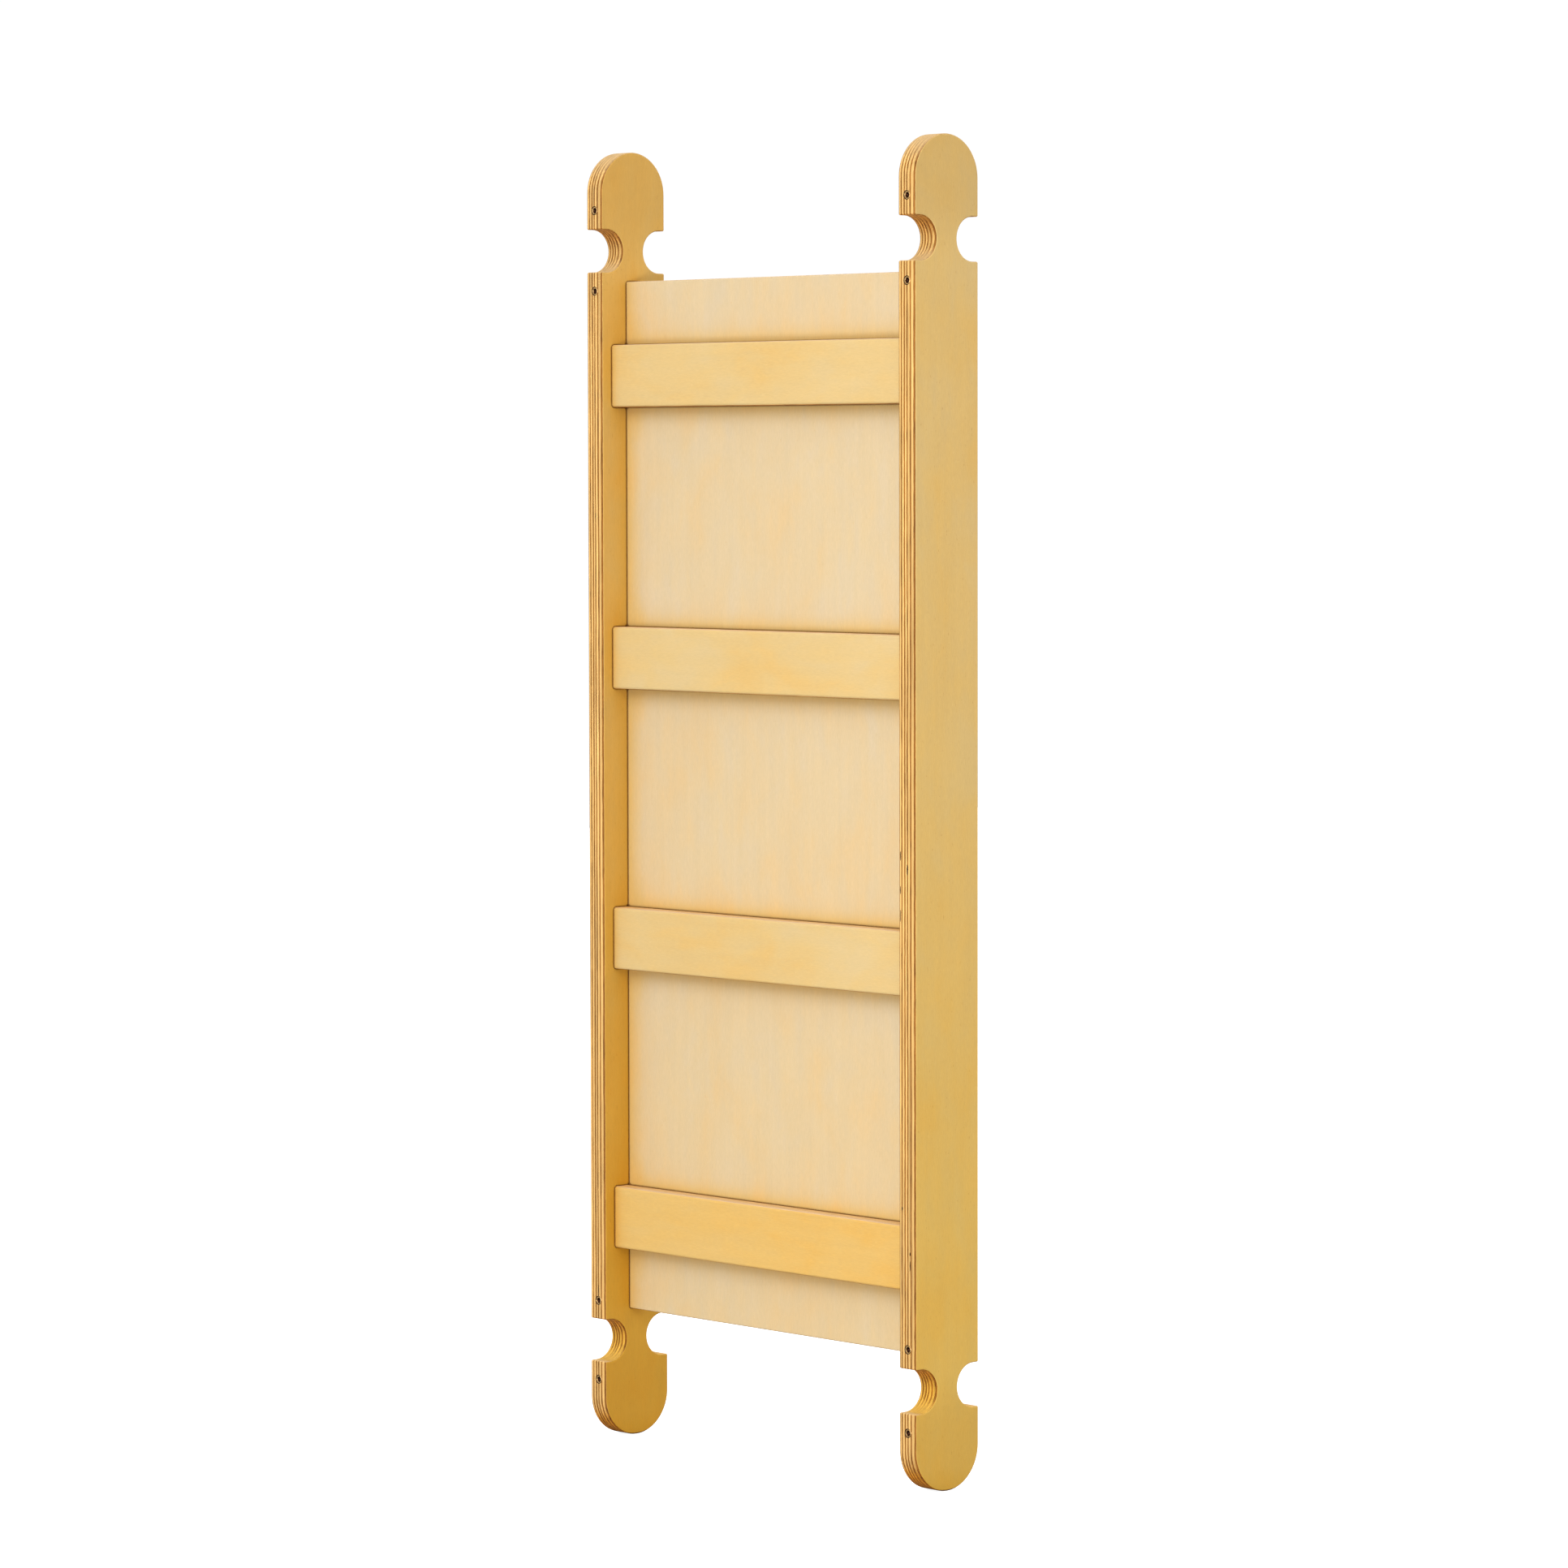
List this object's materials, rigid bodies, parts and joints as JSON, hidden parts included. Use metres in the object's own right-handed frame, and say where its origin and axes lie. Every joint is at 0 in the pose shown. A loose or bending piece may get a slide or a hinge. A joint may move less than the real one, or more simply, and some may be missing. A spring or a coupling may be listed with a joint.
{
  "type": "toddler slide board",
  "caption": "Reversible slide board for a climbing frame: smooth panel between two plywood rails with half-round rung notches, and climbing slats on one face.",
  "frame": {"origin": "on the axis of the top rear rung seat, midway between the two rails", "axes": "+Z along the board towards its head, +X to the right with the slats in front, -Y the climbing side with the slats, +Y the smooth slide side"},
  "size_m": [0.368, 0.064, 0.9998],
  "materials": {
    "rail_plywood": "clear matt lacquer over birch-faced plywood, plies showing on the edges",
    "panel_plywood": "fine sanded pale plywood, matt",
    "slat_wood": "clear matt lacquer, grain along the slat",
    "dowel_wood": "plain beech",
    "insert_metal": "zinc plated, dull"
  },
  "bodies": {
    "root": {"left_side_rail": "rail_plywood", "right_side_rail": "rail_plywood", "slide_panel": "panel_plywood", "bottom_climbing_slat": "slat_wood", "lower_climbing_slat": "slat_wood", "upper_climbing_slat": "slat_wood", "top_climbing_slat": "slat_wood", "panel_dowels_left": "dowel_wood", "bottom_slat_dowels_left": "dowel_wood", "lower_slat_dowels_left": "dowel_wood", "upper_slat_dowels_left": "dowel_wood", "top_slat_dowels_left": "dowel_wood", "panel_dowels_right": "dowel_wood", "bottom_slat_dowels_right": "dowel_wood", "lower_slat_dowels_right": "dowel_wood", "upper_slat_dowels_right": "dowel_wood", "top_slat_dowels_right": "dowel_wood", "strap_insert_left_top_outer": "insert_metal", "strap_insert_left_top_inner": "insert_metal", "strap_insert_left_bottom_outer": "insert_metal", "strap_insert_left_bottom_inner": "insert_metal", "strap_insert_right_top_outer": "insert_metal", "strap_insert_right_top_inner": "insert_metal", "strap_insert_right_bottom_outer": "insert_metal", "strap_insert_right_bottom_inner": "insert_metal"}
  },
  "joints": []
}
